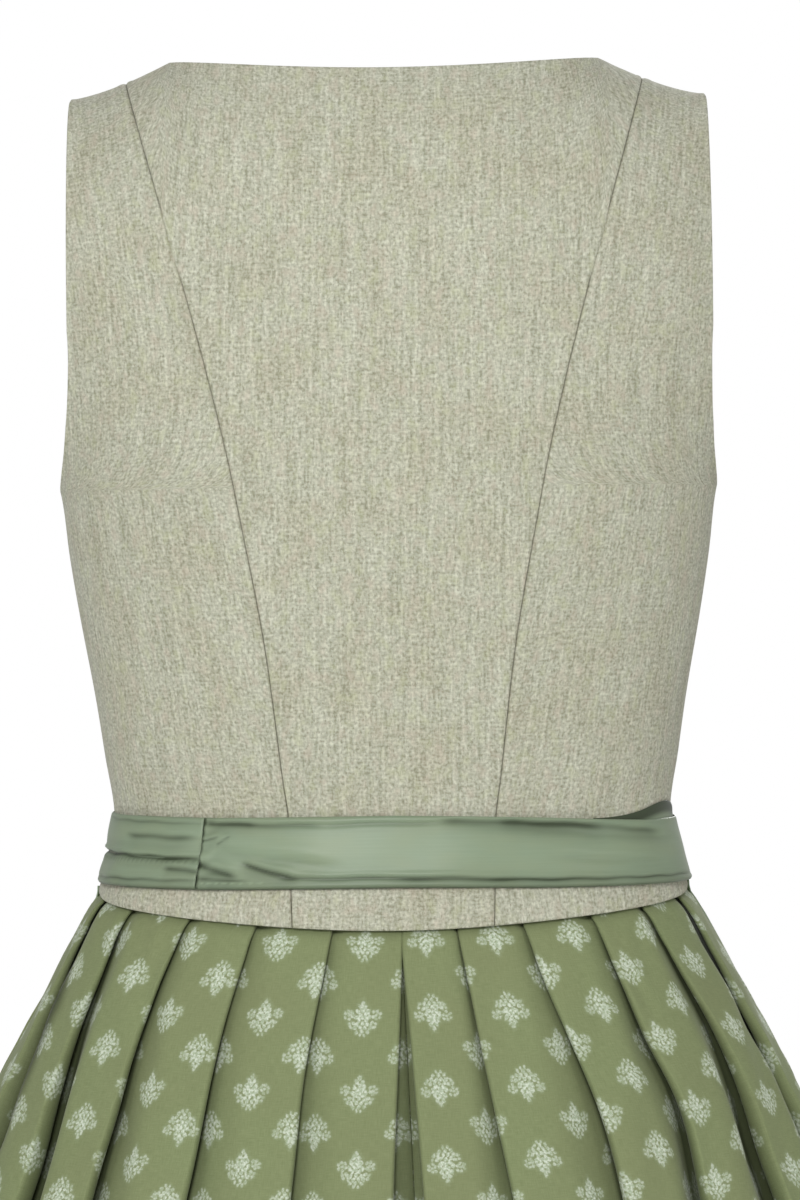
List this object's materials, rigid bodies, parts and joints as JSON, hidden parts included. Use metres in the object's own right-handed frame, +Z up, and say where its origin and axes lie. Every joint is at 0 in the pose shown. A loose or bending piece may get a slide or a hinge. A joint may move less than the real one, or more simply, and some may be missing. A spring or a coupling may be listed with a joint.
{
  "type": "sleeveless dirndl dress with apron",
  "caption": "Sleeveless knee-length dress with a fitted princess-seamed bodice, a full pleated skirt and a tied apron, standing open and hollow as worn.",
  "frame": {"origin": "midway between the two shoulder straps, at the height of the neck ends of the shoulder seams, where the wearer's shoulders hold the dress up", "axes": "+Z up; the front faces -Y and the back faces +Y; +X is the wearer's left"},
  "size_m": [0.7076, 0.6059, 1.0299],
  "materials": {
    "bodice": "grey-beige melange linen and wool",
    "skirt": "olive green printed cotton",
    "apron": "sage green satin",
    "button": "aged silver colour, slightly domed"
  },
  "bodies": {
    "root": {"bodice_back": "bodice", "bodice_side_back_left": "bodice", "bodice_side_back_right": "bodice", "bodice_side_front_left": "bodice", "bodice_side_front_right": "bodice", "bodice_front_left": "bodice", "bodice_front_right": "bodice", "button_1": "button", "button_2": "button", "button_3": "button", "button_4": "button", "button_5": "button", "button_6": "button", "skirt_gore_left_1": "skirt", "skirt_gore_left_2": "skirt", "skirt_gore_left_3": "skirt", "skirt_gore_left_4": "skirt", "skirt_gore_right_1": "skirt", "skirt_gore_right_2": "skirt", "skirt_gore_right_3": "skirt", "skirt_gore_right_4": "skirt", "apron_waistband": "apron", "apron_tie_left": "apron", "apron_tie_right": "apron", "bow_knot": "apron", "bow_loop_left": "apron", "bow_loop_right": "apron", "bow_tail_left": "apron", "bow_tail_right": "apron", "apron_panel": "apron"}
  },
  "joints": []
}
